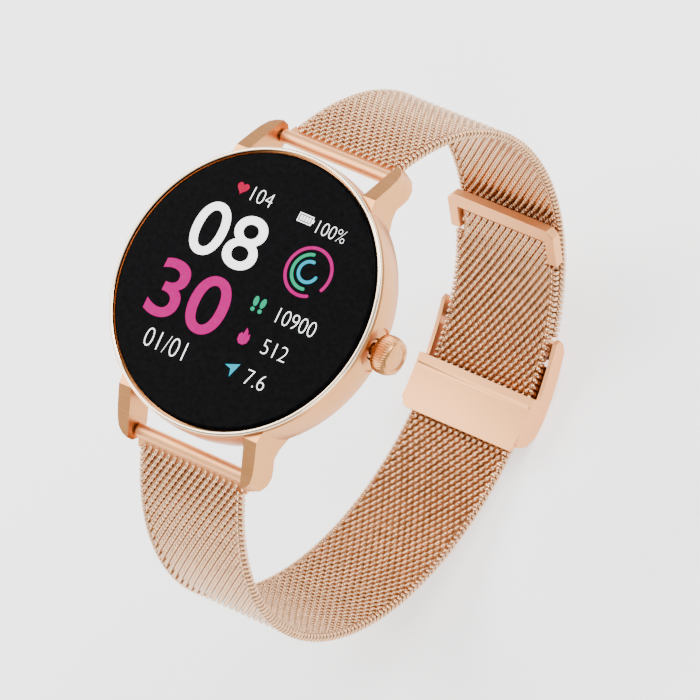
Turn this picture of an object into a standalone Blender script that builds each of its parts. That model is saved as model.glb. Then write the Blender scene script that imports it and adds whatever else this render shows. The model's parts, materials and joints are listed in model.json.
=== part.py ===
"""Round smartwatch on a woven-mesh loop strap with a sliding clasp.

Frame: the origin is the centre of the rear face that rests on the wrist, +Z comes out of the
display, +Y points to 12 o'clock and +X to 3 o'clock, where the crown is. Sizes below are in
millimetres and become metres when each mesh is made.
"""
import math

import bmesh
import bpy
from mathutils import Matrix, Vector

MM = 0.001
GAP = 0.3  # running and assembly clearance

# Watch head
CASE_RADIUS = 21.3
CASE_BOTTOM = 1.9
CASE_TOP = 8.35
CAVITY_RADIUS = 17.6
SEAT_RADIUS = 20.6  # recess that the display and lens sit in
SEAT_Z = 7.4
REAR_RECESS_RADIUS = 19.0
REAR_RECESS_TOP = 2.6
LENS_RADIUS = 20.35
LENS_BOTTOM = 8.15
LENS_EDGE_Z = 9.0
LENS_DOME = 0.9
SENSOR_RADIUS = 8.0
SCREW_RING_RADIUS = 15.6
COVER_TOP = 2.0

# Lugs
LUG_INNER_X = 10.1
LUG_SLOPE = 0.78  # fall of the top facet for each unit along the lug
LUG_TIP_Y = 25.1
LUG_TIP_Z = 3.2
LUG_TOP_Z = 8.1
LUG_BOTTOM_Z = 2.1
LUG_TAPER = 0.85  # width at the top of a lug as a share of its width at the bottom

# Crown
CROWN_Z = 4.5
CROWN_RADIUS = 2.85
CROWN_START_X = 21.6
CROWN_END_X = 24.6
CROWN_FLUTES = 40
CROWN_BORE_RADIUS = 1.65
STEM_RADIUS = 0.65

# Spring bars and strap ends
BAR_Y = 23.25
BAR_Z = 1.7
BAR_RADIUS = 0.55
BAR_TIP_RADIUS = 0.35
TUBE_RADIUS = 1.0
TUBE_BORE = 0.72
STRAP_END_LENGTH = 2.6  # from the bar's centre to the end of the solder strip

# Strap loop: quarter ellipses about a centre below the head
LOOP_Z = -27.7
LOOP_HALF_WIDTH = 38.8
LOOP_TOP = 36.5
LOOP_BOTTOM = 36.4
LOOP_BOTTOM_OUTER = 38.6  # the 12 o'clock strap runs outside the free end of the other
MESH_HALF_WIDTH = 9.55
MESH_THICKNESS = 1.5
UPPER_FLEX_ANGLES = (76.0, 114.0)
LOWER_FLEX_ANGLES = (80.0, 124.0)
FREE_END_Y = 14.0  # the free end leaves the ellipse here and bends more tightly
FREE_END_RADIUS = 32.0
FREE_END_LENGTH = 24.2
UPPER_END_Y = 18.6

# Clasp
SLIDE_Z = LOOP_Z - LOOP_BOTTOM + LOOP_HALF_WIDTH**2 / LOOP_BOTTOM
CLASP_INNER_X = 10.0
CLASP_OUTER_X = 10.65
WALL_TOP_RADIUS = 41.0  # beyond the plate the walls rise just short of the mesh's inner face
PIN_HALF_LENGTH = 10.25
PLATE_RADII = (39.2, 40.1)
LEVER_RADII = (42.4, 43.15)
PLATE_Y = (0.8, 9.2)
PIN_RADIUS = 0.42
LEVER_PIN_Y = 4.6
LEVER_TIP_Y = 14.6
STRAP_PIN_Y = 16.0

ROSE_GOLD = (0.80, 0.53, 0.38, 1.0)
LIGHT_GOLD = (0.92, 0.66, 0.48, 1.0)
STEEL = (0.60, 0.60, 0.62, 1.0)
BLACK = (0.01, 0.01, 0.012, 1.0)
GREEN_BOARD = (0.02, 0.16, 0.07, 1.0)
GREY_PLASTIC = (0.12, 0.12, 0.13, 1.0)
RUBBER = (0.03, 0.03, 0.03, 1.0)
SILVER_FOIL = (0.55, 0.56, 0.58, 1.0)


def clear_scene():
    for old in list(bpy.data.objects):
        bpy.data.objects.remove(old)


def material(name, colour, roughness, metallic):
    mat = bpy.data.materials.new(name)
    mat.use_nodes = True
    shader = mat.node_tree.nodes["Principled BSDF"]
    shader.inputs["Base Color"].default_value = colour
    shader.inputs["Roughness"].default_value = roughness
    shader.inputs["Metallic"].default_value = metallic
    return mat


def piece(name, verts, faces, look=None, origin=(0.0, 0.0, 0.0), sharp=35.0):
    """Make one mesh object from points in millimetres, with its origin at the given point."""
    centre = Vector(origin)
    mesh = bpy.data.meshes.new(name)
    mesh.from_pydata([(Vector(v) - centre) * MM for v in verts], [], faces)
    bm = bmesh.new()
    bm.from_mesh(mesh)
    bmesh.ops.recalc_face_normals(bm, faces=bm.faces)
    bm.to_mesh(mesh)
    bm.free()
    mesh.shade_smooth()
    mesh.set_sharp_from_angle(angle=math.radians(sharp))
    obj = bpy.data.objects.new(name, mesh)
    obj.location = centre * MM
    bpy.context.collection.objects.link(obj)
    if look:
        mesh.materials.append(material(name, *look))
    return obj


def turned(name, profile, segments, look=None, axis="Z", centre=(0, 0, 0), origin=None):
    """Turn a closed outline of (radius, height) points about an axis through centre."""
    verts = []
    rows = []
    for radius, height in profile:
        count = 1 if radius == 0 else segments
        rows.append([len(verts) + i for i in range(count)])
        for i in range(count):
            angle = math.tau * i / segments
            local = (radius * math.cos(angle), radius * math.sin(angle), height)
            if axis == "X":
                local = (height, local[0], local[1])
            verts.append(Vector(local) + Vector(centre))
    faces = []
    for row, following in zip(rows, rows[1:] + rows[:1]):
        faces += band(row, following, segments)
    return piece(name, verts, faces, look, origin or (0, 0, 0))


def band(row, following, segments):
    """Faces between two rings, either of which may be a single point on the axis."""
    if len(row) == 1 and len(following) == 1:
        return []
    faces = []
    for i in range(segments):
        j = (i + 1) % segments
        if len(row) == 1:
            faces.append((row[0], following[j], following[i]))
        elif len(following) == 1:
            faces.append((row[i], row[j], following[0]))
        else:
            faces.append((row[i], row[j], following[j], following[i]))
    return faces


def disc(name, radius, low, high, segments, look=None, centre=(0, 0, 0), axis="Z", origin=None):
    profile = [(0, low), (radius, low), (radius, high), (0, high)]
    return turned(name, profile, segments, look, axis, centre, origin)


def ring(name, inner, outer, low, high, segments, look=None, centre=(0, 0, 0), axis="Z"):
    profile = [(inner, low), (outer, low), (outer, high), (inner, high)]
    return turned(name, profile, segments, look, axis, centre)


def extruded(name, outline, low, high, look=None, along="X", origin=(0, 0, 0), sharp=35.0):
    """Extrude an outline of (y, z) points along X, or of (x, y) points along Z."""
    count = len(outline)
    verts = []
    for level in (low, high):
        for a, b in outline:
            verts.append((level, a, b) if along == "X" else (a, b, level))
    faces = [tuple(range(count)), tuple(range(count, 2 * count))]
    for i in range(count):
        j = (i + 1) % count
        faces.append((i, j, count + j, count + i))
    return piece(name, verts, faces, look, origin, sharp)


def block(name, low, high, look=None, origin=(0, 0, 0)):
    outline = [(low[1], low[2]), (high[1], low[2]), (high[1], high[2]), (low[1], high[2])]
    return extruded(name, outline, low[0], high[0], look, "X", origin)


def combine(target, tool, operation):
    """Join, cut or trim the target with a tool, which is hidden and left out of the part."""
    tool.hide_render = True
    tool.display_type = "WIRE"
    tool.hide_set(True)
    mod = target.modifiers.new(tool.name, "BOOLEAN")
    mod.operation = operation
    mod.object = tool


# ---------------------------------------------------------------- loop path


def on_upper(angle):
    """Centre line of the 12 o'clock strap; the angle runs from straight up, in degrees."""
    a = math.radians(angle)
    height = LOOP_TOP if angle < 90 else LOOP_BOTTOM_OUTER
    return (LOOP_HALF_WIDTH * math.sin(a), LOOP_Z + height * math.cos(a))


def on_lower(angle):
    """Centre line of the 6 o'clock strap, which carries on past the bottom of the loop."""
    a = math.radians(angle)
    height = LOOP_TOP if angle < 90 else LOOP_BOTTOM
    return (-LOOP_HALF_WIDTH * math.sin(a), LOOP_Z + height * math.cos(a))


def angle_at(y):
    """Angle on the lower half of either ellipse where the strap reaches this y."""
    return 180.0 - math.degrees(math.asin(y / LOOP_HALF_WIDTH))


def sample(path, start, end, step=4.0):
    count = max(2, round(abs(end - start) / step))
    return [path(start + (end - start) * i / count) for i in range(count + 1)]


def free_end_points(length):
    """Tighter arc that carries the free end inward from the ellipse."""
    before, start = on_lower(free_angle() - 0.5), on_lower(free_angle())
    heading = math.atan2(start[1] - before[1], start[0] - before[0])
    centre = (
        start[0] - FREE_END_RADIUS * math.sin(heading),
        start[1] + FREE_END_RADIUS * math.cos(heading),
    )
    count = max(2, round(length / 2.4))
    points = []
    for i in range(count + 1):
        turn = heading + length * i / count / FREE_END_RADIUS
        points.append(
            (
                centre[0] + FREE_END_RADIUS * math.sin(turn),
                centre[1] - FREE_END_RADIUS * math.cos(turn),
            )
        )
    return points


def free_angle():
    return 360.0 - angle_at(FREE_END_Y)


def trimmed(points, at_start, at_end):
    """Shorten a polyline by a distance at each end."""
    for cut, reverse in ((at_start, False), (at_end, True)):
        if reverse:
            points = points[::-1]
        points = [Vector(p) for p in points]
        while cut > 0 and (points[1] - points[0]).length <= cut:
            cut -= (points[1] - points[0]).length
            points.pop(0)
        points[0] = points[0] + (points[1] - points[0]).normalized() * cut
        if reverse:
            points = points[::-1]
    return points


def tangents(points):
    result = []
    for i in range(len(points)):
        a = points[max(0, i - 1)]
        b = points[min(len(points) - 1, i + 1)]
        result.append((Vector(b) - Vector(a)).normalized())
    return result


def strip_outline(points, half, round_start, round_end):
    """Closed outline of a strip about a centre line, with round or square ends."""
    points = [Vector(p) for p in points]
    left, right = [], []
    for p, t in zip(points, tangents(points)):
        side = Vector((-t.y, t.x)) * half
        left.append(p + side)
        right.append(p - side)
    outline = list(left)
    if round_end:
        outline += half_circle(points[-1], tangents(points)[-1], half)
    outline += right[::-1]
    if round_start:
        outline += half_circle(points[0], -tangents(points)[0], half)
    return [tuple(p) for p in outline]


def half_circle(centre, heading, half, steps=5):
    """Inner points of the round end of a strip, from its left side to its right side."""
    side = Vector((-heading.y, heading.x))
    points = []
    for i in range(1, steps):
        a = math.pi * i / steps
        points.append(centre + half * (side * math.cos(a) + heading * math.sin(a)))
    return points


# ---------------------------------------------------------------- watch head


def lug(name, side_x, side_y):
    """One lug: its side view trimmed by its plan view."""
    start = 12.0
    facet_start = LUG_TIP_Y - (LUG_TOP_Z - LUG_TIP_Z) / LUG_SLOPE
    side_view = [
        (start, LUG_TOP_Z),
        (facet_start, LUG_TOP_Z),
        (LUG_TIP_Y, LUG_TIP_Z),
        (LUG_TIP_Y - 0.1, 1.7),
        (24.3, 0.6),
        (23.2, 0.15),
        (21.8, 0.3),
        (20.4, 1.3),
        (19.5, LUG_BOTTOM_Z),
        (start, LUG_BOTTOM_Z),
    ]
    plan_view = [
        (LUG_INNER_X, start),
        (16.4, start),
        (14.6, 13.9),
        (13.3, 16.0),
        (12.7, 18.0),
        (12.5, 21.5),
        (12.3, 23.0),
        (11.9, 24.1),
        (11.1, 24.8),
        (LUG_INNER_X, LUG_TIP_Y),
    ]
    side = [(y * side_y, z) for y, z in side_view]
    plan = [(x * side_x, y * side_y) for x, y in plan_view]
    low, high = sorted((LUG_INNER_X * side_x, 18.0 * side_x))
    body = extruded(name, side, low, high)
    combine(body, tapered_plan(name + "_plan", plan), "INTERSECT")
    return body


def tapered_plan(name, plan):
    """Upright block with this plan, whose outer side leans inward toward the top."""
    verts = [(x, y, -1.0) for x, y in plan]
    for x, y in plan:
        width = (abs(x) - LUG_INNER_X) * LUG_TAPER
        verts.append((math.copysign(LUG_INNER_X + width, x), y, 9.0))
    count = len(plan)
    faces = [tuple(range(count)), tuple(range(count, 2 * count))]
    faces += band(list(range(count)), list(range(count, 2 * count)), count)
    return piece(name, verts, faces)


def case_body():
    outside = [
        (0, CASE_BOTTOM),
        (20.2, CASE_BOTTOM),
        (20.9, 2.6),
        (CASE_RADIUS - 0.1, 4.0),
        (CASE_RADIUS, 5.4),
        (CASE_RADIUS, 7.0),
        (CASE_RADIUS - 0.1, 8.0),
        (CASE_RADIUS - 0.35, CASE_TOP),
        (0, CASE_TOP),
    ]
    cavity = [
        (0, 0.5),
        (REAR_RECESS_RADIUS, 0.5),
        (REAR_RECESS_RADIUS, REAR_RECESS_TOP),
        (CAVITY_RADIUS, REAR_RECESS_TOP),
        (CAVITY_RADIUS, SEAT_Z),
        (SEAT_RADIUS, SEAT_Z),
        (SEAT_RADIUS, 10.0),
        (0, 10.0),
    ]
    body = turned("case_body", outside, 96, (ROSE_GOLD, 0.32, 1.0))
    for side_x in (-1, 1):
        for side_y in (-1, 1):
            name = f"lug_{'right' if side_x > 0 else 'left'}_{12 if side_y > 0 else 6}"
            combine(body, lug(name, side_x, side_y), "UNION")
    combine(body, turned("case_cavity", cavity, 96), "DIFFERENCE")
    bore = disc("crown_bore", CROWN_BORE_RADIUS, 15.0, 26.0, 24, None, (0, 0, CROWN_Z), "X")
    combine(body, bore, "DIFFERENCE")
    recess = disc("crown_recess", 3.3, 20.5, 26.0, 32, None, (0, 0, CROWN_Z), "X")
    combine(body, recess, "DIFFERENCE")
    for side_y in (-1, 1):
        centre = (0, side_y * BAR_Y, BAR_Z)
        hole = disc(f"bar_holes_{side_y}", BAR_TIP_RADIUS + 0.25, -11.6, 11.6, 16, None, centre, "X")
        combine(body, hole, "DIFFERENCE")


def bezel_ring():
    profile = [
        (20.65, 8.5),
        (21.1, 8.5),
        (21.2, 8.75),
        (20.95, 9.08),
        (20.65, 9.08),
    ]
    turned("bezel_ring", profile, 96, (LIGHT_GOLD, 0.12, 1.0))


def lens_and_display():
    top = [(LENS_RADIUS, LENS_BOTTOM), (LENS_RADIUS, LENS_EDGE_Z - 0.1)]
    for i in range(1, 6):
        radius = (LENS_RADIUS - 0.15) * (1 - i / 6)
        top.append((radius, LENS_EDGE_Z + LENS_DOME * (1 - (radius / LENS_RADIUS) ** 2)))
    profile = [(0, LENS_BOTTOM)] + top + [(0, LENS_EDGE_Z + LENS_DOME)]
    turned("glass_lens", profile, 72, (BLACK, 0.03, 0.0))
    ring("lens_gasket", 19.1, 20.3, 7.6, 7.95, 48, (RUBBER, 0.8, 0.0))
    disc("display_panel", 18.7, 7.6, 7.95, 48, (BLACK, 0.2, 0.0))


def rear_side():
    profile = [
        (SENSOR_RADIUS + 0.35, 0.35),
        (11.0, 0.35),
        (18.5, 1.5),
        (18.7, COVER_TOP),
        (SENSOR_RADIUS + 0.35, COVER_TOP),
    ]
    cover = turned("rear_cover", profile, 60, (GREY_PLASTIC, 0.4, 0.0))
    for index in range(4):
        angle = math.radians(45 + 90 * index)
        x, y = SCREW_RING_RADIUS * math.cos(angle), SCREW_RING_RADIUS * math.sin(angle)
        hole = [(0, -1), (1.15, -1), (1.15, 1.65), (0.7, 1.65), (0.7, 3.0), (0, 3.0)]
        combine(cover, turned(f"screw_hole_{index}", hole, 16, None, "Z", (x, y, 0)), "DIFFERENCE")
        screw = [(0, 1.2), (0.85, 1.2), (0.85, 1.6), (0.42, 1.6), (0.42, 4.4), (0, 4.4)]
        turned(f"rear_screw_{index + 1}", screw, 16, (STEEL, 0.3, 1.0), "Z", (x, y, 0))
    for side, label in ((-1, "left"), (1, "right")):
        place = (side * 3.2, -12.4, 0)
        hole = disc(f"contact_hole_{label}", 1.4, -1, 3, 16, None, place)
        combine(cover, hole, "DIFFERENCE")
        disc(f"charge_contact_{label}", 1.1, 0.3, 1.95, 16, (LIGHT_GOLD, 0.2, 1.0), place)
    ring("rear_gasket", 17.9, 18.7, 2.15, 2.45, 48, (RUBBER, 0.8, 0.0))
    window = [(0, 0), (7.4, 0), (SENSOR_RADIUS, 0.35), (SENSOR_RADIUS, 1.0), (0, 1.0)]
    turned("sensor_window", window, 48, (BLACK, 0.05, 0.0))
    disc("sensor_board", 9.0, 2.3, 2.8, 32, (GREEN_BOARD, 0.5, 0.0))
    block("heart_led", (-1.2, -1.2, 1.3), (1.2, 1.2, 2.1), (LIGHT_GOLD, 0.3, 0.0))
    block("photodiode_left", (-5.0, -1.1, 1.3), (-3.0, 1.1, 2.1), (BLACK, 0.3, 0.0))
    block("photodiode_right", (3.0, -1.1, 1.3), (5.0, 1.1, 2.1), (BLACK, 0.3, 0.0))


def electronics():
    frame = ring("mid_frame", 14.2, 17.2, 3.0, 5.3, 48, (GREY_PLASTIC, 0.6, 0.0))
    for index in range(4):
        angle = math.radians(45 + 90 * index)
        x, y = SCREW_RING_RADIUS * math.cos(angle), SCREW_RING_RADIUS * math.sin(angle)
        hole = disc(f"frame_hole_{index}", 0.72, 2.0, 6.0, 12, None, (x, y, 0))
        combine(frame, hole, "DIFFERENCE")
    combine(frame, block("switch_notch", (13.0, -2.6, 2.0), (19.0, 2.6, 6.0)), "DIFFERENCE")
    block("battery", (-9.5, -10.0, 3.1), (7.0, 9.0, 5.1), (SILVER_FOIL, 0.4, 0.6))
    disc("vibration_motor", 2.2, 3.2, 5.1, 24, (STEEL, 0.3, 1.0), (10.2, 6.0, 0))
    disc("main_board", 16.8, 5.6, 6.2, 48, (GREEN_BOARD, 0.5, 0.0))
    block("processor_shield", (-5.0, -4.5, 6.4), (4.5, 4.5, 7.1), (STEEL, 0.35, 1.0))


def crown():
    centre = (0, 0, CROWN_Z)
    ring("crown_tube", 0.95, 1.35, 18.3, 20.3, 24, (STEEL, 0.3, 1.0), centre, "X")
    ring("crown_seal", 0.95, 1.35, 17.65, 18.0, 24, (RUBBER, 0.8, 0.0), centre, "X")
    block("crown_switch", (13.4, -2.0, 3.2), (15.8, 2.0, 5.2), (BLACK, 0.5, 0.0))
    disc("crown_stem", STEM_RADIUS, 16.5, 22.9, 20, (STEEL, 0.25, 1.0), centre, "X", centre)
    head = fluted_head(centre)
    combine(head, disc("stem_socket", 0.95, 21.0, 23.2, 20, None, centre, "X"), "DIFFERENCE")


def fluted_head(centre):
    """Barrel-shaped knob with straight flutes and a plain, slightly domed end."""
    stations = [
        (CROWN_START_X, 0.80, 0.0),
        (CROWN_START_X + 0.35, 0.97, 0.10),
        (CROWN_START_X + 1.4, 1.0, 0.14),
        (CROWN_END_X - 0.55, 0.93, 0.10),
        (CROWN_END_X - 0.15, 0.82, 0.0),
        (CROWN_END_X, 0.72, 0.0),
    ]
    count = CROWN_FLUTES * 2
    verts = []
    for x, scale, depth in stations:
        for i in range(count):
            radius = CROWN_RADIUS * scale - (depth if i % 2 else 0.0)
            angle = math.tau * i / count
            verts.append((x, radius * math.cos(angle), centre[2] + radius * math.sin(angle)))
    faces = [tuple(range(count)), tuple(range(len(verts) - count, len(verts)))]
    for station in range(len(stations) - 1):
        first = [station * count + i for i in range(count)]
        faces += band(first, [i + count for i in first], count)
    return piece("crown_head", verts, faces, (ROSE_GOLD, 0.25, 1.0), centre, 20.0)


# ---------------------------------------------------------------- strap


def spring_bar(name, side):
    centre = (0, side * BAR_Y, BAR_Z)
    profile = [
        (0, -11.2),
        (BAR_TIP_RADIUS, -11.2),
        (BAR_TIP_RADIUS, -9.9),
        (BAR_RADIUS, -9.9),
        (BAR_RADIUS, 9.9),
        (BAR_TIP_RADIUS, 9.9),
        (BAR_TIP_RADIUS, 11.2),
        (0, 11.2),
    ]
    turned(name, profile, 16, (STEEL, 0.3, 1.0), "X", centre, centre)


def strap_end(name, side, path):
    """Tube that turns on the spring bar, with the flat strip that the mesh is soldered to."""
    centre = Vector((side * BAR_Y, BAR_Z))
    nearest = path(38.2)
    toward = path(42.0)
    heading = (Vector(toward) - Vector(nearest)).normalized()
    normal = Vector((-heading.y, heading.x))
    half = MESH_THICKNESS / 2
    spread = math.asin(half / TUBE_RADIUS)
    outline = []
    steps = 18
    for i in range(steps + 1):
        a = spread + (math.tau - 2 * spread) * i / steps
        outline.append(centre + TUBE_RADIUS * (heading * math.cos(a) + normal * math.sin(a)))
    reach = centre + heading * STRAP_END_LENGTH
    outline += [reach - normal * half, reach + normal * half]
    origin = (0, centre.x, centre.y)
    look = (LIGHT_GOLD, 0.25, 1.0)
    half_width = LUG_INNER_X - GAP
    end = extruded(name, [tuple(p) for p in outline], -half_width, half_width, look, "X", origin)
    bore = disc(name + "_bore", TUBE_BORE, -12, 12, 20, None, (0, centre.x, centre.y), "X")
    combine(end, bore, "DIFFERENCE")


def mesh_piece(name, points, start_round, end_round, origin):
    outline = strip_outline(points, MESH_THICKNESS / 2, start_round, end_round)
    look = (ROSE_GOLD, 0.35, 1.0)
    return extruded(name, outline, -MESH_HALF_WIDTH, MESH_HALF_WIDTH, look, "X", origin)


def path_start(path, side):
    """Angle where the mesh starts, just past the solder strip."""
    centre = Vector((side * BAR_Y, BAR_Z))
    angle = 38.0
    while (Vector(path(angle)) - centre).length < STRAP_END_LENGTH + GAP:
        angle += 0.1
    return angle


def strap(name, path, side, flex_angles, last_points):
    """Mesh pieces from the spring bar down, parted at the flex joints."""
    joint_cut = MESH_THICKNESS / 2 + GAP / 2
    limits = [path_start(path, side)] + list(flex_angles)
    for index, (a, b) in enumerate(zip(limits, limits[1:])):
        first = index == 0
        points = trimmed(sample(path, a, b), 0.0 if first else joint_cut, joint_cut)
        joint = (side * BAR_Y, BAR_Z) if first else path(a)
        mesh_piece(f"{name}_mesh_{index + 1}", points, not first, True, (0, *joint))
    tail = trimmed(last_points, joint_cut, 0.0)
    joint = path(flex_angles[-1])
    return mesh_piece(f"{name}_mesh_{len(limits)}", tail, True, False, (0, *joint))


def upper_strap():
    spring_bar("spring_bar_12", 1)
    strap_end("strap_end_12", 1, on_upper)
    last = sample(on_upper, UPPER_FLEX_ANGLES[-1], angle_at(UPPER_END_Y))
    strap("upper", on_upper, 1, UPPER_FLEX_ANGLES, last)
    clasp_end()


def clasp_end():
    """Strip that ends the 12 o'clock mesh, with a lip that passes outside the clasp's pin."""
    y0, z0 = on_upper(angle_at(UPPER_END_Y))
    y1, z1 = on_upper(angle_at(UPPER_END_Y - 1.3))
    heading = Vector((y1 - y0, z1 - z0)).normalized()
    out = Vector((-heading.y, heading.x))
    start = Vector((y0, z0)) + heading * GAP

    def at(along, outward):
        return tuple(start + heading * along + out * outward)

    outline = [
        at(0.0, -0.8),
        at(0.5, -0.8),
        at(0.85, 0.75),
        at(3.1, 0.75),
        at(3.1, 1.25),
        at(0.6, 1.25),
        at(0.0, 0.8),
    ]
    origin = (0, *on_upper(UPPER_FLEX_ANGLES[-1]))
    extruded("clasp_link", outline, -9.55, 9.55, (LIGHT_GOLD, 0.25, 1.0), "X", origin)


def lower_strap():
    spring_bar("spring_bar_6", -1)
    strap_end("strap_end_6", -1, on_lower)
    joint_cut = MESH_THICKNESS / 2 + GAP / 2
    last = sample(on_lower, LOWER_FLEX_ANGLES[-1], free_angle())
    last = trimmed(last, 0.0, joint_cut)
    strap("lower", on_lower, -1, LOWER_FLEX_ANGLES, last)
    pivot = on_lower(free_angle())
    tail = trimmed(free_end_points(FREE_END_LENGTH), joint_cut, 2.3 + GAP)
    free = mesh_piece("lower_mesh_4", tail, True, False, (0, *pivot))
    end_cap(free, pivot)


def end_cap(free, pivot):
    """U-shaped frame that closes the free end and stops it from leaving the clasp."""
    tip = Vector(free_end_points(FREE_END_LENGTH)[-1])
    before = Vector(free_end_points(FREE_END_LENGTH - 6.0)[-1])
    heading = (tip - before).normalized()
    rotation = Matrix(((1, 0, 0), (0, heading.x, -heading.y), (0, heading.y, heading.x)))
    corner = 1.1
    outer, inner, back, leg = 9.75, 8.0, -2.3, -6.6
    plan = [
        (-outer, leg),
        (-inner, leg),
        (-inner, back),
        (inner, back),
        (inner, leg),
        (outer, leg),
        (outer, -corner),
        (outer - corner, 0),
        (corner - outer, 0),
        (-outer, -corner),
    ]
    verts = []
    for level in (-0.7, 0.9):
        for x, y in plan:
            verts.append(Vector((0, tip.x, tip.y)) + rotation @ Vector((x, y, level)))
    count = len(plan)
    faces = [tuple(range(count)), tuple(range(count, 2 * count))]
    faces += band(list(range(count)), list(range(count, 2 * count)), count)
    piece("end_cap", verts, faces, (LIGHT_GOLD, 0.2, 1.0), (0, *pivot))
    for side in (-1, 1):
        low_x, high_x = sorted((side * (inner - GAP), side * 11.5))
        verts = []
        for x in (low_x, high_x):
            for y, z in ((leg - GAP, -2), (1, -2), (1, 2), (leg - GAP, 2)):
                verts.append(Vector((0, tip.x, tip.y)) + rotation @ Vector((x, y, z)))
        faces = [(0, 1, 2, 3), (4, 5, 6, 7)] + band([0, 1, 2, 3], [4, 5, 6, 7], 4)
        combine(free, piece(f"cap_room_{side}", verts, faces), "DIFFERENCE")


# ---------------------------------------------------------------- clasp


def on_slide(radius, y):
    """Point at this y on a circle about the axis that the clasp slides round."""
    return (y, SLIDE_Z - math.sqrt(radius**2 - y**2))


def slide_arc(radius, y_start, y_end, steps=8):
    return [on_slide(radius, y_start + (y_end - y_start) * i / steps) for i in range(steps + 1)]


def clasp():
    origin = (0, 0, SLIDE_Z)
    inner, outer = PLATE_RADII
    wall = slide_arc(inner, 2.0, PLATE_Y[1])
    wall += slide_arc(WALL_TOP_RADIUS, PLATE_Y[1] + 0.3, 17.8)
    wall += [
        (18.7, -60.2),
        (18.6, -61.4),
        (17.6, -62.9),
        (14.4, -64.4),
        (10.9, -65.6),
        (7.4, -66.3),
        (4.6, -66.3),
        (2.6, -65.0),
        (1.8, -62.9),
    ]
    plate = slide_arc(inner, PLATE_Y[0], PLATE_Y[1]) + slide_arc(outer, PLATE_Y[1], PLATE_Y[0])
    body = extruded("clasp_base", plate, -10.3, 10.3, (LIGHT_GOLD, 0.22, 1.0), "X", origin)
    for side, label in ((-1, "left"), (1, "right")):
        corner = [(side * 9.2, 0.0), (side * 12, 0.0), (side * 12, 3.4), (side * 10.7, 2.3)]
        cut = extruded(f"plate_corner_{label}", corner, -64.0, -60.6, along="Z")
        combine(body, cut, "DIFFERENCE")
    for side, label in ((-1, "left"), (1, "right")):
        low, high = sorted((side * CLASP_INNER_X, side * CLASP_OUTER_X))
        combine(body, extruded(f"clasp_wall_{label}", wall, low, high), "UNION")
    pins = (
        ("lever_pin", on_slide(PIN_RADIUS + LEVER_RADII[0], LEVER_PIN_Y)),
        ("strap_pin", on_slide(PIN_RADIUS + LEVER_RADII[0], STRAP_PIN_Y)),
    )
    for name, (y, z) in pins:
        reach = PIN_HALF_LENGTH
        disc(name, PIN_RADIUS, -reach, reach, 20, (STEEL, 0.25, 1.0), (0, y, z), "X")
        reach += 0.1
        hole = disc(name + "_hole", PIN_RADIUS + 0.12, -reach, reach, 20, None, (0, y, z), "X")
        combine(body, hole, "DIFFERENCE")
    lever(*pins[0][1])


def lever(pin_y, pin_z):
    """Cover that clamps the strap; its thicker end is cupped round the lever pin."""
    inner, outer = LEVER_RADII
    knuckle = PIN_RADIUS + inner + 1.0
    cover = slide_arc(inner, LEVER_PIN_Y + 0.3, LEVER_TIP_Y)
    cover += slide_arc(outer, LEVER_TIP_Y, LEVER_PIN_Y + 2.6)
    cover += slide_arc(knuckle, LEVER_PIN_Y + 0.8, LEVER_PIN_Y - 0.8, 3)
    origin = (0, pin_y, pin_z)
    look = (ROSE_GOLD, 0.25, 1.0)
    half_width = CLASP_INNER_X - GAP
    body = extruded("clasp_lever", cover, -half_width, half_width, look, "X", origin)
    bore = disc("lever_bore", PIN_RADIUS + 0.15, -12, 12, 20, None, origin, "X")
    combine(body, bore, "DIFFERENCE")


def build():
    clear_scene()
    case_body()
    bezel_ring()
    lens_and_display()
    rear_side()
    electronics()
    crown()
    upper_strap()
    lower_strap()
    clasp()


build()
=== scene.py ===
import json
import math

import bmesh
import bpy
import numpy as np
from mathutils import Matrix, Vector

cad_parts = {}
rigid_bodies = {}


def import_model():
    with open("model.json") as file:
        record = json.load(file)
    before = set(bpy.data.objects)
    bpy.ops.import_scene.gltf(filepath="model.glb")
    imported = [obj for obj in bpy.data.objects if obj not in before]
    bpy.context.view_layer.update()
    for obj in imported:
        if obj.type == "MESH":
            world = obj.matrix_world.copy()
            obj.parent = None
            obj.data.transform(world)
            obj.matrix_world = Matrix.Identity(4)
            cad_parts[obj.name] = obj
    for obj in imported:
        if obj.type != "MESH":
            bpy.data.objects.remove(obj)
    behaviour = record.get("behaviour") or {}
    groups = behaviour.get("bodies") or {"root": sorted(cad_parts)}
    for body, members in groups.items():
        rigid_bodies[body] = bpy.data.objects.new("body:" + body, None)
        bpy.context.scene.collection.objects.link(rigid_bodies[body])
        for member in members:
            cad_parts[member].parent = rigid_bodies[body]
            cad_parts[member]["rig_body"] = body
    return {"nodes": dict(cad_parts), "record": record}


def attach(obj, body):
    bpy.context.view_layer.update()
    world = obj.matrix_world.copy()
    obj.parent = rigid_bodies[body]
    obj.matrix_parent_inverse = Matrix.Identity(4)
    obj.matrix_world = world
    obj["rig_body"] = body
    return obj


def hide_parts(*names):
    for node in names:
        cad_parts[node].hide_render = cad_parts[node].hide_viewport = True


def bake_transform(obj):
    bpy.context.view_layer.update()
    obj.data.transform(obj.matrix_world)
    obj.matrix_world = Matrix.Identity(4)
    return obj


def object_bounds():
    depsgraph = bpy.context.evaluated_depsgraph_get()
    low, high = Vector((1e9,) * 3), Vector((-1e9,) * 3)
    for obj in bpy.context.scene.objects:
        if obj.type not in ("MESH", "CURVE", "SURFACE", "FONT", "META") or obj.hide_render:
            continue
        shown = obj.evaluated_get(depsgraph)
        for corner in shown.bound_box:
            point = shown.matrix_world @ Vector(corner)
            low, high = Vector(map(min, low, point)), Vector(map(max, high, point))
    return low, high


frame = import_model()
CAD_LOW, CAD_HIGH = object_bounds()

# Sizes are in millimetres, as in the CAD source, and become metres when a mesh is made.
MM = 0.001
NODES = frame["nodes"]

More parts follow.
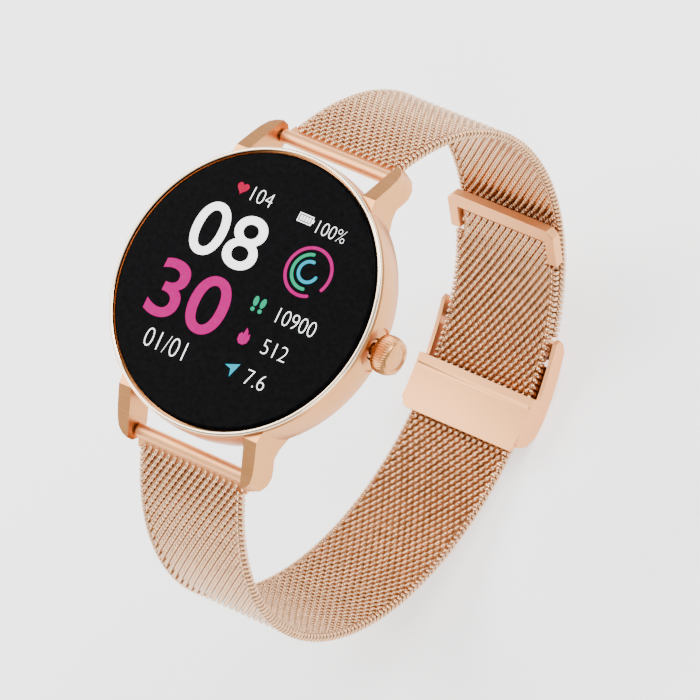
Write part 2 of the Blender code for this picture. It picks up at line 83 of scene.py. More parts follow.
# Strap loop, as in the CAD source
BAR_Y, BAR_Z = 23.25, 1.7
BAR_ANGLE = 37.0  # where the loop passes the spring bar
WEAVE_START = 1.25  # the first row sits against the tube on the spring bar
TUBE_RADIUS = 1.0
TUBE_BORE = 0.72
TUBE_HALF_WIDTH = 9.8
BORE_HALF = 10.8  # the cutter passes both ends of the tube
TUBE_STEPS = 40
BORE_STEPS = 32
TUBE_SMOOTHING = 30.0
TONGUE_LENGTH = 2.6
TONGUE_HALF = 0.25
LOOP_Z = -27.7
LOOP_HALF_WIDTH = 38.8
LOOP_TOP = 36.5
LOOP_BOTTOM = 36.4
LOOP_BOTTOM_OUTER = 38.6
FREE_END_Y = 14.0
FREE_END_RADIUS = 32.0
FREE_END_LENGTH = 24.2
ELLIPSE_STEPS = 600
FREE_END_STEPS = 160
UPPER_END_Y = 18.6
UPPER_FLEX = (76.0, 114.0)
LOWER_FLEX = (80.0, 124.0)
CAP_BACK = 2.6
CAP_LEGS = 7.0

# Woven wire
WIRE_RADIUS = 0.21
COIL_PITCH = 1.1
COIL_ROW = 0.9
EDGE_PITCH = COIL_ROW
COIL_REACH = 0.58
COIL_DEPTH = 0.54
COIL_HALF_WIDTH = 8.45
CAP_HALF_WIDTH = 7.5
POINTS_PER_TURN = 12
WIRE_SIDES = 6
# Flat strap directions and stretches are along, across and out of the strap.
ALONG = (1.0, 0.0, 0.0)
ACROSS = (0.0, 1.0, 0.0)
WIRE_WIDENING = (1.0, 1.3, 1.0)  # the woven wire is rolled flat
EDGE_WIDENING = (1.7, 1.0, 1.0)
WIRE_SMOOTHING = 80.0
EDGE_X = 8.75
EDGE_REACH = 0.4
WEAVE_MARGIN = COIL_REACH + WIRE_RADIUS
COIL_SWAY = 0.026  # turns the strands towards the length of the strap
BACKING_HALF = 0.1
BACKING_SPARE = 0.25
FLEX_REACH = 7.0
FREE_END_REACH = 4.0

# Lens
LENS_RADIUS = 20.35
LENS_BOTTOM = 8.15
LENS_EDGE_Z = 9.0
LENS_DOME = 0.9
INK_LIFT = 0.01
INK_THICKNESS = 0.02
INK_EDGE = 0.8

# Crown
CROWN_Z = 4.5
CROWN_FLUTES = 40
CROWN_FLUTE_STEPS = 8
CROWN_PROFILE = [  # distance along the axis, radius and depth of the flutes
    (21.6, 2.2, 0.0),
    (21.68, 2.38, 0.02),
    (21.9, 2.72, 0.16),
    (22.4, 2.82, 0.22),
    (23.0, 2.85, 0.24),
    (23.6, 2.78, 0.22),
    (24.0, 2.64, 0.12),
    (24.12, 2.52, 0.0),
    (24.3, 2.5, 0.0),
    (24.5, 2.38, 0.0),
    (24.58, 2.2, 0.0),
    (24.6, 1.95, 0.0),
    (24.42, 1.8, 0.0),
    (24.42, 1.55, 0.0),
    (24.55, 1.4, 0.0),
    (24.58, 0.9, 0.0),
]

# Ring round the lens, in gold drawn paler as a painted highlight: radius and height
BEZEL_PROFILE = [
    (20.65, 8.5),
    (21.1, 8.5),
    (21.17, 8.62),
    (21.2, 8.75),
    (21.17, 8.86),
    (21.1, 8.97),
    (21.0, 9.05),
    (20.88, 9.08),
    (20.74, 9.07),
    (20.65, 9.0),
]

# Turned pieces and rounded edges
TURN_STEPS = 192
LENS_RIM = 0.5  # radius of the lens's rounded edge
LENS_RIM_STEPS = 6
LENS_STEPS = 24
MERGE_DISTANCE = 0.002
FLAT_ANGLE = 0.8  # faces closer to level than this become one
EDGE_STEPS = 3
EDGE_ANGLE = 28.0
EDGE_WIDTHS = {
    "case_body": 0.18,
    "clasp_base": 0.16,
    "clasp_lever": 0.12,
    "clasp_link": 0.1,
    "end_cap": 0.16,
}

# Display
RINGS_CENTRE = (8.6, 5.8)
RING_WIDTH = 0.5
SIGNS_X = 3.8  # column of small signs beside the figures

# Studio
FLOOR_GLOW = 1.2  # keeps the pale floor near white round the object
FLOOR_HALF = 10.0
FLOOR_GAP = 0.0005
WORLD_STRENGTH = 0.8
CAMERA_PLACE = (0.47212, -0.07898, 0.77132)
CAMERA_RIGHT = (0.79164, 0.43861, -0.42534)
CAMERA_UP = (-0.33893, 0.89446, 0.29159)
CAMERA_BACK = (0.50837, -0.08667, 0.85674)
CAMERA_LENS = 331.3


# ------------------------------------------------------------- materials


def surface(name, dark, light, rough, metallic=0.0, grain=(1500, 1500, 1500), bump=0.05, **sockets):
    """Principled material whose colour, roughness and fine relief come from stretched noise."""
    mat = bpy.data.materials.new(name)
    mat.use_nodes = True
    nodes, links = mat.node_tree.nodes, mat.node_tree.links
    shader = nodes["Principled BSDF"]
    coords = nodes.new("ShaderNodeTexCoord")
    stretch = nodes.new("ShaderNodeMapping")
    stretch.inputs["Scale"].default_value = grain
    noise = nodes.new("ShaderNodeTexNoise")
    noise.inputs["Scale"].default_value = 1.0
    noise.inputs["Detail"].default_value = 4.0
    ramp = nodes.new("ShaderNodeValToRGB")
    ramp.color_ramp.elements[0].position = 0.3
    ramp.color_ramp.elements[1].position = 0.7
    ramp.color_ramp.elements[0].color = (*dark, 1)
    ramp.color_ramp.elements[1].color = (*light, 1)
    spread = nodes.new("ShaderNodeMapRange")
    spread.inputs["To Min"].default_value = rough[0]
    spread.inputs["To Max"].default_value = rough[1]
    relief = nodes.new("ShaderNodeBump")
    relief.inputs["Strength"].default_value = bump
    relief.inputs["Distance"].default_value = 0.00002
    links.new(coords.outputs["Object"], stretch.inputs["Vector"])
    links.new(stretch.outputs["Vector"], noise.inputs["Vector"])
    links.new(noise.outputs["Fac"], ramp.inputs["Fac"])
    links.new(noise.outputs["Fac"], spread.inputs["Value"])
    links.new(noise.outputs["Fac"], relief.inputs["Height"])
    links.new(ramp.outputs["Color"], shader.inputs["Base Color"])
    links.new(spread.outputs["Result"], shader.inputs["Roughness"])
    links.new(relief.outputs["Normal"], shader.inputs["Normal"])
    shader.inputs["Metallic"].default_value = metallic
    for socket, value in sockets.items():
        shader.inputs[socket.replace("_", " ")].default_value = value
    return mat


def glowing(name, colour, strength):
    """Lit display colour with a slight unevenness from cell to cell."""
    black = ((0.0, 0.0, 0.0), (0.01, 0.01, 0.01))
    mat = surface(name, *black, (0.05, 0.08), bump=0.0, Specular_IOR_Level=0.0)
    nodes, links = mat.node_tree.nodes, mat.node_tree.links
    shader = nodes["Principled BSDF"]
    cells = nodes.new("ShaderNodeTexNoise")
    cells.inputs["Scale"].default_value = 5000.0
    ramp = nodes.new("ShaderNodeValToRGB")
    ramp.color_ramp.elements[0].color = tuple(0.93 * c for c in colour) + (1,)
    ramp.color_ramp.elements[1].color = (*colour, 1)
    coords = next(n for n in nodes if n.type == "TEX_COORD")
    links.new(coords.outputs["Object"], cells.inputs["Vector"])
    links.new(cells.outputs["Fac"], ramp.inputs["Fac"])
    links.new(ramp.outputs["Color"], shader.inputs["Emission Color"])
    shader.inputs["Emission Strength"].default_value = strength
    return mat


SATIN = surface(
    "satin_gold", (0.59, 0.25, 0.08), (0.65, 0.30, 0.11), (0.28, 0.36), 1.0, (300, 300, 5000), 0.03
)
POLISHED = surface(
    "polished_gold",
    (0.86, 0.40, 0.16),
    (0.90, 0.44, 0.19),
    (0.46, 0.52),
    metallic=1.0,
    grain=(9000, 9000, 9000),
    bump=0.01,
)
# Polished gold for the bezel ring: its low roughness is real polish, its paler colour a painted
# highlight
HIGHLIGHT_GOLD = surface("gold_with_painted_highlight", (0.84, 0.64, 0.44), (0.90, 0.71, 0.51), (0.10, 0.15), 1.0)
WIRE = surface(
    "wire_gold", (0.58, 0.34, 0.18), (0.78, 0.48, 0.28), (0.20, 0.28), 1.0, (900, 900, 900)
)
STEEL = surface("steel", (0.50, 0.50, 0.52), (0.62, 0.62, 0.64), (0.22, 0.34), 1.0, (4000, 400, 400))
CONTACT = surface("contact_gold", (0.85, 0.60, 0.25), (0.95, 0.72, 0.35), (0.12, 0.22), 1.0)
GLASS = surface(
    "black_glass",
    (0.001, 0.001, 0.0012),
    (0.003, 0.003, 0.0035),
    (0.03, 0.06),
    bump=0.0,
    Specular_IOR_Level=0.01,
)
RUBBER = surface("rubber", (0.02, 0.02, 0.02), (0.05, 0.05, 0.05), (0.7, 0.9), bump=0.3)
PLASTIC = surface(
    "dark_plastic",
    (0.035, 0.035, 0.04),
    (0.06, 0.06, 0.065),
    (0.35, 0.5),
    grain=(9000, 9000, 9000),
    bump=0.4,
)
GLOSS = surface("black_plastic", (0.005, 0.005, 0.006), (0.015, 0.015, 0.018), (0.15, 0.25))
BOARD = surface("circuit_board", (0.01, 0.12, 0.05), (0.03, 0.20, 0.09), (0.4, 0.55))
FOIL = surface("battery_foil", (0.45, 0.46, 0.48), (0.60, 0.61, 0.63), (0.3, 0.45), 0.8)
LED = surface("led_lens", (0.75, 0.70, 0.45), (0.90, 0.85, 0.60), (0.15, 0.25))
BY_SLOT = {
    "rose_gold_satin": SATIN,
    "rose_gold_polished": POLISHED,
    "rose_gold_mesh": WIRE,
    "steel": STEEL,
    "gold_contact": CONTACT,
    "cover_glass": GLASS,
    "sensor_glass": GLASS,
    "rubber": RUBBER,
    "black_plastic": GLOSS,
    "dark_plastic": PLASTIC,
    "circuit_board": BOARD,
    "battery_foil": FOIL,
    "led_lens": LED,
}

CROWN_NECK = ("crown_tube", "crown_stem")  # gold like the crown


def paint_nodes():
    for part in frame["record"]["subparts"]:
        materials = NODES[part["node"]].data.materials
        materials.clear()
        gilt = part["node"] in CROWN_NECK
        materials.append(SATIN if gilt else BY_SLOT[part["material_slot"]])


# ------------------------------------------------------------- mesh helpers


def new_piece(name, verts, faces, mat, smooth=35.0):
    """Mesh object from points in millimetres."""
    mesh = bpy.data.meshes.new(name)
    mesh.from_pydata((np.asarray(verts, float) * MM).tolist(), [], faces)
    return finished(name, mesh, mat, smooth)


def finished(name, mesh, mat, smooth=35.0):
    bm = bmesh.new()
    bm.from_mesh(mesh)
    bmesh.ops.recalc_face_normals(bm, faces=bm.faces)
    bm.to_mesh(mesh)
    bm.free()
    mesh.shade_smooth()
    mesh.set_sharp_from_angle(angle=math.radians(smooth))
    mesh.materials.clear()
    mesh.materials.append(mat)
    obj = bpy.data.objects.new(name, mesh)
    bpy.context.scene.collection.objects.link(obj)
    return obj


def turned(name, profile, mat):
    """Turn a closed outline of (radius, z) points about the Z axis."""
    verts, rows, faces = [], [], []
    for radius, z in profile:
        count = 1 if radius == 0 else TURN_STEPS
        rows.append([len(verts) + i for i in range(count)])
        for i in range(count):
            a = math.tau * i / TURN_STEPS
            verts.append((radius * math.cos(a), radius * math.sin(a), z))
    for low, high in zip(rows, rows[1:] + rows[:1]):
        for i in range(TURN_STEPS):
            j = (i + 1) % TURN_STEPS
            if len(low) > 1 and len(high) > 1:
                faces.append((low[i], low[j], high[j], high[i]))
            elif len(low) > 1:
                faces.append((low[i], low[j], high[0]))
            elif len(high) > 1:
                faces.append((low[0], high[j], high[i]))
    return new_piece(name, verts, faces, mat)


def refined(node, width):
    """Copy of a CAD node with its flat faces whole again and its edges rounded."""
    mesh = NODES[node].data.copy()
    bm = bmesh.new()
    bm.from_mesh(mesh)
    bmesh.ops.remove_doubles(bm, verts=bm.verts, dist=MERGE_DISTANCE * MM)
    flat = math.radians(FLAT_ANGLE)
    bmesh.ops.dissolve_limit(bm, angle_limit=flat, verts=bm.verts, edges=bm.edges)
    bm.to_mesh(mesh)
    bm.free()
    slot = next(p["material_slot"] for p in frame["record"]["subparts"] if p["node"] == node)
    obj = finished(node + "_fine", mesh, BY_SLOT[slot])
    bevel = obj.modifiers.new("round_edges", "BEVEL")
    bevel.width = width * MM
    bevel.segments = EDGE_STEPS
    bevel.limit_method = "ANGLE"
    bevel.angle_limit = math.radians(EDGE_ANGLE)
    obj.modifiers.new("even_shading", "WEIGHTED_NORMAL").keep_sharp = True
    stand_for(obj, NODES[node]["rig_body"], slot, node)


def evaluated_mesh(obj):
    graph = bpy.context.evaluated_depsgraph_get()
    return bpy.data.meshes.new_from_object(obj.evaluated_get(graph))


def stand_for(obj, body, slot, *nodes):
    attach(obj, body)
    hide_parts(*nodes)


# ------------------------------------------------------------- woven straps


class Path:
    """Centre line of one strap, looked up by the distance along it."""

    def __init__(self, points, side):
        points = np.array(points)
        steps = np.linalg.norm(np.diff(points, axis=0), axis=1)
        self.s = np.concatenate([[0.0], np.cumsum(steps)])
        self.points = points
        self.headings = np.gradient(points, self.s, axis=0)
        self.side = side

    def place(self, s, x, n):
        """Points in space for distances along, across and out of the strap."""
        y = np.interp(s, self.s, self.points[:, 0])
        z = np.interp(s, self.s, self.points[:, 1])
        hy = np.interp(s, self.s, self.headings[:, 0])
        hz = np.interp(s, self.s, self.headings[:, 1])
        length = np.hypot(hy, hz)
        out_y, out_z = -self.side * hz / length, self.side * hy / length
        return np.stack([x, y + n * out_y, z + n * out_z], -1)

    def nearest(self, point):
        return self.s[np.argmin(np.linalg.norm(self.points - np.array(point), axis=1))]

    def length(self):
        return self.s[-1]


def ellipse_point(angle, side, bottom):
    a = math.radians(angle)
    height = LOOP_TOP if angle < 90 else bottom
    return (side * LOOP_HALF_WIDTH * math.sin(a), LOOP_Z + height * math.cos(a))


def angle_at(y):
    return 180.0 - math.degrees(math.asin(y / LOOP_HALF_WIDTH))


def free_end_angle():
    return 360.0 - angle_at(FREE_END_Y)


def start_angle(side, bottom):
    angle = BAR_ANGLE
    while math.dist(ellipse_point(angle, side, bottom), (side * BAR_Y, BAR_Z)) < WEAVE_START:
        angle += 0.05
    return angle


def ellipse_points(side, bottom, end_angle):
    angles = np.linspace(start_angle(side, bottom), end_angle, ELLIPSE_STEPS)
    return [ellipse_point(a, side, bottom) for a in angles]


def free_end_points():
    """Tighter arc that carries the free end inward from the ellipse."""
    angle = free_end_angle()
    before = ellipse_point(angle - 0.5, -1, LOOP_BOTTOM)
    start = ellipse_point(angle, -1, LOOP_BOTTOM)
    heading = math.atan2(start[1] - before[1], start[0] - before[0])
    centre_y = start[0] - FREE_END_RADIUS * math.sin(heading)
    centre_z = start[1] + FREE_END_RADIUS * math.cos(heading)
    points = []
    for distance in np.linspace(0.1, FREE_END_LENGTH, FREE_END_STEPS):
        turn = heading + distance / FREE_END_RADIUS
        points.append(
            (
                centre_y + FREE_END_RADIUS * math.sin(turn),
                centre_z - FREE_END_RADIUS * math.cos(turn),
            )
        )
    return points


def tube(line, guide, widening):
    """Round tube about a line of flat (s, x, n) points; guide is never along the line."""
    tangent = np.gradient(line, axis=0)
    tangent /= np.linalg.norm(tangent, axis=1)[:, None]
    across = np.cross(tangent, guide)
    across /= np.linalg.norm(across, axis=1)[:, None]
    other = np.cross(tangent, across)
    angles = np.arange(WIRE_SIDES) * math.tau / WIRE_SIDES
    rim = across[:, None] * np.cos(angles)[:, None] + other[:, None] * np.sin(angles)[:, None]
    verts = (line[:, None] + WIRE_RADIUS * rim * widening).reshape(-1, 3)
    return verts, joined_rings(len(line), WIRE_SIDES)


def joined_rings(count, sides):
    """Faces of a closed body made of rings of points, one after another."""
    first = np.arange((count - 1) * sides).reshape(-1, sides)
    after = np.roll(first, -1, axis=1)
    quads = np.stack([first, after, after + sides, first + sides], -1).reshape(-1, 4)
    end_cap = [(count - 1) * sides + i for i in range(sides)]
    return quads.tolist() + [list(range(sides)), end_cap]


def backing(rows):
    """Thin sheet down the middle of the weave, in place of its hidden inner strands."""
    half = COIL_ROW / 2
    stations = [(rows[0][0] - half, rows[0][1])] + rows + [(rows[-1][0] + half, rows[-1][1])]
    verts = []
    for s, width in stations:
        for x, n in ((-1, -1), (1, -1), (1, 1), (-1, 1)):
            verts.append((s, x * (width + BACKING_SPARE), n * BACKING_HALF))
    return np.array(verts), joined_rings(len(stations), 4)


def coil(s, half_width, row, hand):
    """Flattened helix across the strap, linked through the rows before and after it."""
    turns = 2 * half_width / COIL_PITCH
    count = round(turns * POINTS_PER_TURN)
    x = np.linspace(-half_width, half_width, count)
    phase = math.tau * x / COIL_PITCH + row * math.pi  # linked half a turn apart
    x = x + COIL_SWAY * np.sin(2 * phase)
    return np.stack([s - COIL_REACH * np.cos(phase), hand * x, COIL_DEPTH * np.sin(phase)], -1)


def edge_coil(s0, s1, x, hand):
    """Wire that whips the edge."""
    count = round((s1 - s0) / EDGE_PITCH * POINTS_PER_TURN)
    s = np.linspace(s0, s1, count)
    phase = hand * math.tau * s / EDGE_PITCH
    return np.stack([s, x + EDGE_REACH * np.cos(phase), COIL_DEPTH * np.sin(phase)], -1)


def woven(name, path, s0, s1, hand, narrow_from):
    """Rows of linked coils and both whipped edges between two distances along a strap."""
    rows, pieces = [], []
    row = math.ceil(s0 / COIL_ROW)
    while row * COIL_ROW < s1:
        s = row * COIL_ROW
        width = CAP_HALF_WIDTH if s > narrow_from - COIL_REACH else COIL_HALF_WIDTH
        pieces.append(tube(coil(s, width, row, hand), ACROSS, WIRE_WIDENING))
        rows.append((s, width))
        row += 1
    pieces.append(backing(rows))
    edge_end = min(s1, narrow_from - COIL_REACH)
    for side in (-1, 1):
        line = edge_coil(s0, edge_end, side * EDGE_X, side * hand)
        pieces.append(tube(line, ALONG, EDGE_WIDENING))
    verts, faces, total = [], [], 0
    for points, sides in pieces:
        verts.append(path.place(points[:, 0], points[:, 1], points[:, 2]))
        faces += [[i + total for i in face] for face in sides]
        total += len(points)
    return new_piece(name, np.concatenate(verts), faces, WIRE, WIRE_SMOOTHING)


def blend_at(obj, path, point, reach, nodes):
    """Bake a woven piece's place into its mesh and hide the nodes it stands for; the points either
    side of the joint are found but not used, so the piece is not bent.
    """
    s = path.nearest(point)
    zero = np.zeros(1)
    start = path.place(np.array([s - reach]), zero, zero)[0] * MM
    end = path.place(np.array([s + reach]), zero, zero)[0] * MM
    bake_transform(obj)
    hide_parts(*nodes)


def strap_tube(name, node, path, side, body):
    """Rounded tube on the spring bar, with a thin tongue that lies inside the weave."""
    centre = Vector((side * BAR_Y, BAR_Z))
    heading = Vector(path.points[0]) - centre
    heading.normalize()
    normal = Vector((-heading.y, heading.x))
    spread = math.asin(TONGUE_HALF / TUBE_RADIUS)
    outline = []
    for a in np.linspace(spread, math.tau - spread, TUBE_STEPS + 1):
        outline.append(centre + TUBE_RADIUS * (heading * math.cos(a) + normal * math.sin(a)))
    reach = centre + heading * TONGUE_LENGTH
    outline += [reach - normal * TONGUE_HALF, reach + normal * TONGUE_HALF]
    blank = prism(name, outline, TUBE_HALF_WIDTH)
    cutter = prism(name + "_bore", oval(centre, TUBE_BORE, TUBE_BORE, 0.0, BORE_STEPS), BORE_HALF)
    cut = blank.modifiers.new("bore", "BOOLEAN")
    cut.object = cutter
    mesh = evaluated_mesh(blank)
    bpy.data.objects.remove(cutter)
    bpy.data.objects.remove(blank)
    made = finished(name, mesh, POLISHED, TUBE_SMOOTHING)
    stand_for(made, body, "rose_gold_polished", node)


def prism(name, outline, half_width):
    count = len(outline)
    verts = [(x, p[0], p[1]) for x in (-half_width, half_width) for p in outline]
    faces = [tuple(range(count)), tuple(range(count, 2 * count))]
    faces += [(i, (i + 1) % count, count + (i + 1) % count, count + i) for i in range(count)]
    return new_piece(name, verts, faces, POLISHED, TUBE_SMOOTHING)


def upper_weave(path):
    beyond = path.length() + CAP_LEGS  # this strap isn't narrowed for a cap
    middle = path.nearest(ellipse_point(sum(UPPER_FLEX) / 2, 1, LOOP_BOTTOM_OUTER))
    limits = [WEAVE_MARGIN, middle, path.length() - WEAVE_MARGIN]
    nodes = (["upper_mesh_1", "upper_mesh_2"], ["upper_mesh_3"])
    for i, angle in enumerate(UPPER_FLEX):
        joint = ellipse_point(angle, 1, LOOP_BOTTOM_OUTER)
        obj = woven(f"upper_weave_{i + 1}", path, limits[i], limits[i + 1], 1, beyond)
        blend_at(obj, path, joint, FLEX_REACH, nodes[i])


def lower_weave(path):
    angles = (*LOWER_FLEX, free_end_angle())
    joints = [ellipse_point(angle, -1, LOOP_BOTTOM) for angle in angles]
    places = [path.nearest(joint) for joint in joints]
    middles = [(places[0] + places[1]) / 2, (places[1] + places[2]) / 2]
    limits = [WEAVE_MARGIN, *middles, path.length() - CAP_BACK - WEAVE_MARGIN]
    narrow = path.length() - CAP_LEGS
    nodes = (["lower_mesh_1", "lower_mesh_2"], ["lower_mesh_3"], ["lower_mesh_4"])
    reaches = (FLEX_REACH, FLEX_REACH, FREE_END_REACH)
    for i, joint in enumerate(joints):
        obj = woven(f"lower_weave_{i + 1}", path, limits[i], limits[i + 1], -1, narrow)
        blend_at(obj, path, joint, reaches[i], nodes[i])


def straps():
    upper = Path(ellipse_points(1, LOOP_BOTTOM_OUTER, angle_at(UPPER_END_Y)), 1)
    ellipse = ellipse_points(-1, LOOP_BOTTOM, free_end_angle())
    lower = Path(ellipse + free_end_points(), -1)
    strap_tube("strap_tube_12", "strap_end_12", upper, 1, "upper_strap_1")
    strap_tube("strap_tube_6", "strap_end_6", lower, -1, "lower_strap_1")
    upper_weave(upper)
    lower_weave(lower)


# ------------------------------------------------------------- watch head


def dome_z(radius):
    return LENS_EDGE_Z + LENS_DOME * (1 - (radius / LENS_RADIUS) ** 2)


def lens():
    profile = [(0, LENS_BOTTOM), (LENS_RADIUS - 0.1, LENS_BOTTOM), (LENS_RADIUS, LENS_BOTTOM + 0.1)]
    inner = LENS_RADIUS - LENS_RIM
    for i in range(LENS_RIM_STEPS + 1):
        a = math.pi / 2 * i / LENS_RIM_STEPS
        height = dome_z(inner) - LENS_RIM + LENS_RIM * math.sin(a)
        profile.append((inner + LENS_RIM * math.cos(a), height))
    for i in range(1, LENS_STEPS + 1):
        radius = inner * (1 - i / LENS_STEPS)
        profile.append((radius, dome_z(radius)))
    glass = turned("domed_glass", profile, GLASS)
    stand_for(glass, "watch_head", "cover_glass", "glass_lens")


def bezel():
    # The ring's pale gold is a painted highlight on polished rose gold
    ring = turned("bezel_with_painted_highlight", BEZEL_PROFILE, HIGHLIGHT_GOLD)
    stand_for(ring, "watch_head", "rose_gold_polished", "bezel_ring")


def crown():
    """Knob with rounded flutes, a plain rim and a slightly dished end."""
    count = CROWN_FLUTES * CROWN_FLUTE_STEPS
    verts, faces = [], []
    for x, radius, depth in CROWN_PROFILE:
        for i in range(count):
            a = math.tau * i / count
            r = radius - depth * (0.5 - 0.5 * math.cos(a * CROWN_FLUTES))
            verts.append((x, r * math.cos(a), CROWN_Z + r * math.sin(a)))
    for start in range(0, len(verts) - count, count):
        for i in range(count):
            j = (i + 1) % count
            faces.append((start + i, start + j, start + count + j, start + count + i))
    faces += [tuple(range(count)), tuple(range(len(verts) - count, len(verts)))]
    knob = new_piece("fluted_crown", verts, faces, SATIN, 50.0)
    stand_for(knob, "crown_knob", "rose_gold_satin", "crown_head")


# ------------------------------------------------------------- display


def on_dome(name, bm, mat):
    """Split a flat drawing finely, lay it on the lens and give it a little thickness."""
    for _ in range(6):
        long_edges = [e for e in bm.edges if e.calc_length() > INK_EDGE]
        if not long_edges:
            break
        bmesh.ops.subdivide_edges(bm, edges=long_edges, cuts=1)
        bmesh.ops.triangulate(bm, faces=bm.faces)
    for v in bm.verts:
        v.co.z = dome_z(math.hypot(v.co.x, v.co.y)) + INK_LIFT
        v.co *= MM
    mesh = bpy.data.meshes.new(name)
    bm.to_mesh(mesh)
    bm.free()
    mesh.materials.append(mat)
    obj = bpy.data.objects.new(name, mesh)
    bpy.context.scene.collection.objects.link(obj)
    thick = obj.modifiers.new("ink", "SOLIDIFY")
    thick.thickness = INK_THICKNESS * MM
    thick.offset = 1.0
    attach(obj, "watch_head")


def add_text(bm, words, centre, height, width, weight):
    """Digits drawn with the built-in font and fitted to a box in millimetres."""
    curve = bpy.data.curves.new("digits", "FONT")
    curve.body = words
    curve.offset = weight
    holder = bpy.data.objects.new("digits", curve)
    bpy.context.scene.collection.objects.link(holder)
    mesh = evaluated_mesh(holder)
    bpy.data.objects.remove(holder)
    bpy.data.curves.remove(curve)
    corners = np.array([v.co for v in mesh.vertices])
    low, high = corners.min(0), corners.max(0)
    middle = (low + high) / 2
    for v in mesh.vertices:
        v.co.x = centre[0] + (v.co.x - middle[0]) * width / (high[0] - low[0])
        v.co.y = centre[1] + (v.co.y - middle[1]) * height / (high[1] - low[1])
    bm.from_mesh(mesh)
    bpy.data.meshes.remove(mesh)


def add_shape(bm, outline):
    verts = [bm.verts.new((x, y, 0)) for x, y in outline]
    face = bm.faces.new(verts)
    face.normal_update()
    if face.normal.z < 0:
        face.normal_flip()
    bmesh.ops.triangulate(bm, faces=[face])


def add_arc(bm, centre, radius, start, end):
    """Part of a ring with round ends; the angles run anticlockwise in degrees."""
    outline = []
    for side in (1, -1):
        angles = np.linspace(start, end, 40)[::side]
        for a in np.radians(angles):
            r = radius + side * RING_WIDTH / 2
            outline.append((centre[0] + r * math.cos(a), centre[1] + r * math.sin(a)))
        tip = math.radians(end if side > 0 else start)
        for k in range(1, 6):
            turn = tip + (0 if side > 0 else math.pi) + math.pi * k / 6
            outline.append(
                (
                    centre[0] + radius * math.cos(tip) + RING_WIDTH / 2 * math.cos(turn),
                    centre[1] + radius * math.sin(tip) + RING_WIDTH / 2 * math.sin(turn),
                )
            )
    add_shape(bm, outline)


def oval(centre, a, b, tilt=0.0, steps=20):
    c, s = math.cos(math.radians(tilt)), math.sin(math.radians(tilt))
    points = []
    for i in range(steps):
        u, v = a * math.cos(math.tau * i / steps), b * math.sin(math.tau * i / steps)
        points.append((centre[0] + c * u - s * v, centre[1] + s * u + c * v))
    return points


def heart_outline(centre, size):
    points = []
    for i in range(36):
        t = math.tau * i / 36
        x = 16 * math.sin(t) ** 3
        y = 13 * math.cos(t) - 5 * math.cos(2 * t) - 2 * math.cos(3 * t) - math.cos(4 * t)
        points.append((centre[0] + x * size / 32, centre[1] + y * size / 32))
    return points


def bar(bm, left, bottom, right, top):
    add_shape(bm, [(left, bottom), (right, bottom), (right, top), (left, top)])


def battery_sign(bm):
    """Outline of four sides, four charge bars and the end terminal."""
    bar(bm, 3.05, 11.85, 3.2, 13.2)
    bar(bm, 5.35, 11.85, 5.5, 13.2)
    bar(bm, 3.22, 11.85, 5.33, 12.0)
    bar(bm, 3.22, 13.05, 5.33, 13.2)
    for i in range(4):
        left = 3.4 + i * 0.48
        bar(bm, left, 12.15, left + 0.33, 12.9)
    bar(bm, 5.52, 12.3, 5.75, 12.75)


def white_marks():
    bm = bmesh.new()
    add_text(bm, "08", (-5.9, 6.1), 8.1, 12.2, 0.008)
    add_text(bm, "104", (-3.6, 13.0), 2.1, 3.6, -0.024)
    add_text(bm, "100%", (9.0, 12.2), 1.9, 4.8, -0.024)
    add_text(bm, "01/01", (-7.4, -11.3), 2.7, 7.2, -0.024)
    add_text(bm, "10900", (10.5, -1.4), 2.2, 6.4, -0.024)
    add_text(bm, "512", (9.3, -6.2), 2.2, 4.2, -0.024)
    add_text(bm, "7.6", (8.5, -11.0), 2.2, 3.3, -0.024)
    battery_sign(bm)
    on_dome("display_white", bm, glowing("lit_white", (1.0, 1.0, 1.0), 3.5))


def magenta_marks():
    bm = bmesh.new()
    add_text(bm, "30", (-6.9, -4.0), 8.7, 13.2, 0.012)
    add_arc(bm, RINGS_CENTRE, 3.55, -28, 295)
    flame = [(-0.1, 1.3), (0.35, 0.8), (0.5, 0.3), (0.75, 0.6), (0.95, -0.1), (0.8, -0.8)]
    flame += [(0.3, -1.2), (-0.4, -1.2), (-0.85, -0.75), (-0.9, 0.0), (-0.55, 0.45)]
    flame += [(-0.3, 0.2), (-0.2, 0.8)]
    add_shape(bm, [(3.9 + x, -6.0 + y) for x, y in flame])
    on_dome("display_magenta", bm, glowing("lit_magenta", (1.0, 0.0, 0.36), 0.95))


def colour_marks():
    bm = bmesh.new()
    add_shape(bm, heart_outline((-7.3, 13.2), 2.0))
    on_dome("display_red", bm, glowing("lit_red", (1.0, 0.0, 0.10), 0.95))
    bm = bmesh.new()
    add_arc(bm, RINGS_CENTRE, 2.55, 100, 280)
    for side in (-1, 1):
        add_shape(bm, oval((SIGNS_X + 0.62 * side, -0.8), 0.42, 0.75, -6 * side))
        add_shape(bm, oval((SIGNS_X + 0.62 * side, -2.0), 0.34, 0.32))
    on_dome("display_green", bm, glowing("lit_green", (0.0, 0.75, 0.36), 1.0))
    bm = bmesh.new()
    add_arc(bm, RINGS_CENTRE, 1.52, 85, 345)
    add_shape(bm, [(5.3, -9.8), (4.4, -12.0), (4.1, -10.9), (3.0, -10.6)])
    on_dome("display_cyan", bm, glowing("lit_cyan", (0.0, 0.70, 1.0), 1.1))


# ------------------------------------------------------------- camera and light


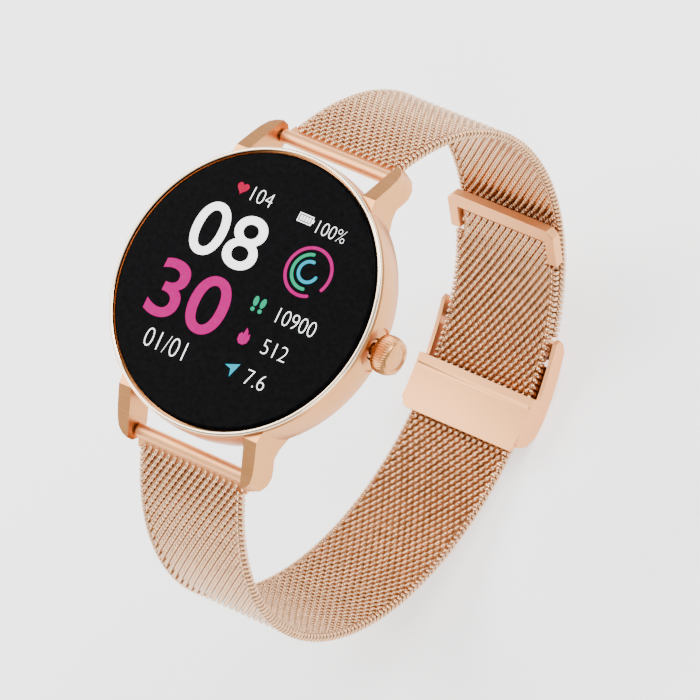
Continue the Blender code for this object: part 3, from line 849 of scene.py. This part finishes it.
def area_light(name, place, size, power, target=(0, 0, -0.03)):
    data = bpy.data.lights.new(name, "AREA")
    data.shape = "RECTANGLE"
    data.size, data.size_y = size
    data.energy = power
    obj = bpy.data.objects.new(name, data)
    obj.location = place
    obj.rotation_mode = "QUATERNION"
    obj.rotation_quaternion = (Vector(target) - Vector(place)).to_track_quat("-Z", "Y")
    bpy.context.scene.collection.objects.link(obj)


def studio():
    floor_z = CAD_LOW.z - FLOOR_GAP
    sides = ((-1, -1), (1, -1), (1, 1), (-1, 1))
    corners = [(x * FLOOR_HALF, y * FLOOR_HALF, floor_z) for x, y in sides]
    mesh = bpy.data.meshes.new("floor")
    mesh.from_pydata(corners, [], [(0, 1, 2, 3)])
    paper = surface("floor_paper", (0.92, 0.92, 0.92), (0.94, 0.94, 0.94), (0.8, 0.9), bump=0.0)
    shader = paper.node_tree.nodes["Principled BSDF"]
    shader.inputs["Emission Color"].default_value = (1, 1, 1, 1)
    shader.inputs["Emission Strength"].default_value = FLOOR_GLOW
    mesh.materials.append(paper)
    floor = bpy.data.objects.new("floor", mesh)
    bpy.context.scene.collection.objects.link(floor)
    world = bpy.data.worlds.new("studio")
    world.use_nodes = True
    background = world.node_tree.nodes["Background"]
    background.inputs["Color"].default_value = (1, 1, 1, 1)
    background.inputs["Strength"].default_value = WORLD_STRENGTH
    bpy.context.scene.world = world
    area_light("key", (0.25, 0.6, 0.65), (0.5, 0.4), 9.0)
    area_light("fill", (0.7, -0.45, 0.30), (0.5, 0.5), 3.2)
    area_light("side", (-0.7, -0.5, 0.12), (0.3, 0.5), 3.5)
    area_light("panel", (-0.42, 0.08, 0.62), (0.6, 0.6), 8.0)


def camera():
    data = bpy.data.cameras.new("camera")
    data.sensor_width = 36.0
    data.lens = CAMERA_LENS
    data.clip_start, data.clip_end = 0.01, 20.0
    obj = bpy.data.objects.new("camera", data)
    turn = Matrix((CAMERA_RIGHT, CAMERA_UP, CAMERA_BACK)).transposed().to_4x4()
    obj.matrix_world = Matrix.Translation(CAMERA_PLACE) @ turn
    bpy.context.scene.collection.objects.link(obj)
    bpy.context.scene.camera = obj


paint_nodes()
for node, width in EDGE_WIDTHS.items():
    refined(node, width)
lens()
bezel()
crown()
straps()
white_marks()
magenta_marks()
colour_marks()
studio()
camera()
